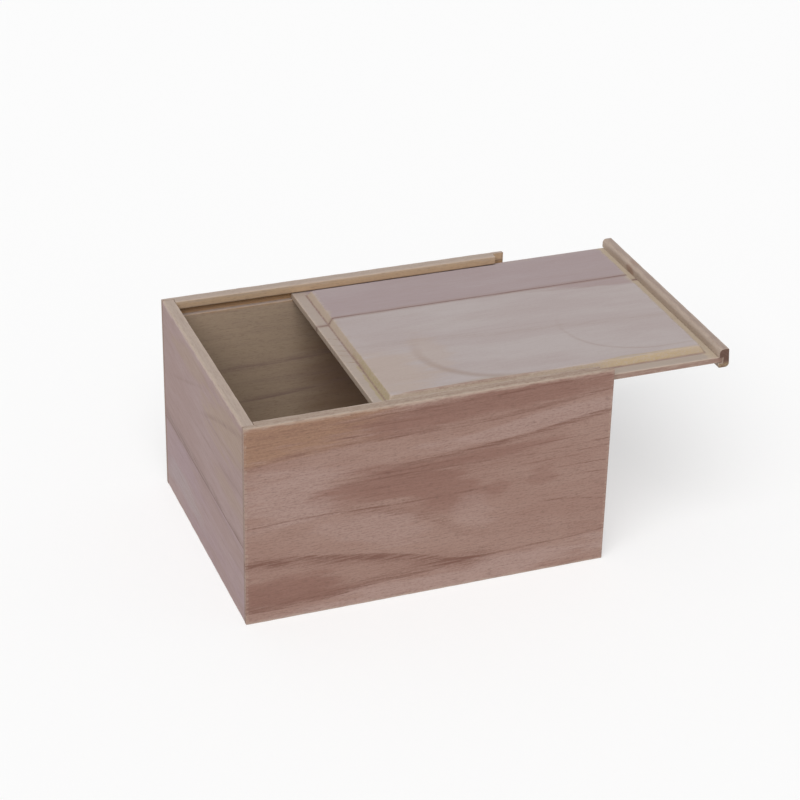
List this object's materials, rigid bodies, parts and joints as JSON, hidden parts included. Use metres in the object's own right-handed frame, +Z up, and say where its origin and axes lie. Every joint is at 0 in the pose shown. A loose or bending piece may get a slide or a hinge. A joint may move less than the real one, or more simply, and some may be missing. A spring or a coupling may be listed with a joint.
{
  "type": "sliding lid wooden box",
  "caption": "Rectangular bare wood box with rebated corners and a raised panel lid that slides out of grooves by a pull strip on its end.",
  "frame": {"origin": "centre of the box's flat underside, on the surface it stands on", "axes": "+X along the slide towards the open end, -Y the front face, +Z up"},
  "size_m": [0.373, 0.212, 0.16],
  "materials": {
    "front_wood": "bare planed wood, pinkish brown with reddish brown streaks",
    "back_wood": "bare planed wood, tan",
    "end_wood": "bare planed wood, greyish mauve",
    "end_wood_dark": "bare planed wood, mauve",
    "bottom_wood": "bare thin board, tan",
    "lid_wood_pale": "bare planed wood, pale grey beige",
    "lid_wood_pink": "bare planed wood, greyish pink",
    "strip_wood": "bare planed wood, beige with darker end grain"
  },
  "bodies": {
    "box": {"front_panel": "front_wood", "back_panel": "back_wood", "left_end_upper_board": "end_wood", "left_end_lower_board": "end_wood_dark", "right_end_panel": "end_wood", "bottom_board": "bottom_wood"},
    "lid": {"lid_front_board": "lid_wood_pale", "lid_rear_board": "lid_wood_pink", "lid_pull_strip": "strip_wood"}
  },
  "joints": [
    {"name": "lid_slide", "type": "slide", "parent": "box", "child": "lid", "axis": [1, 0, 0], "range_m": [-0.095, 0.185]}
  ]
}
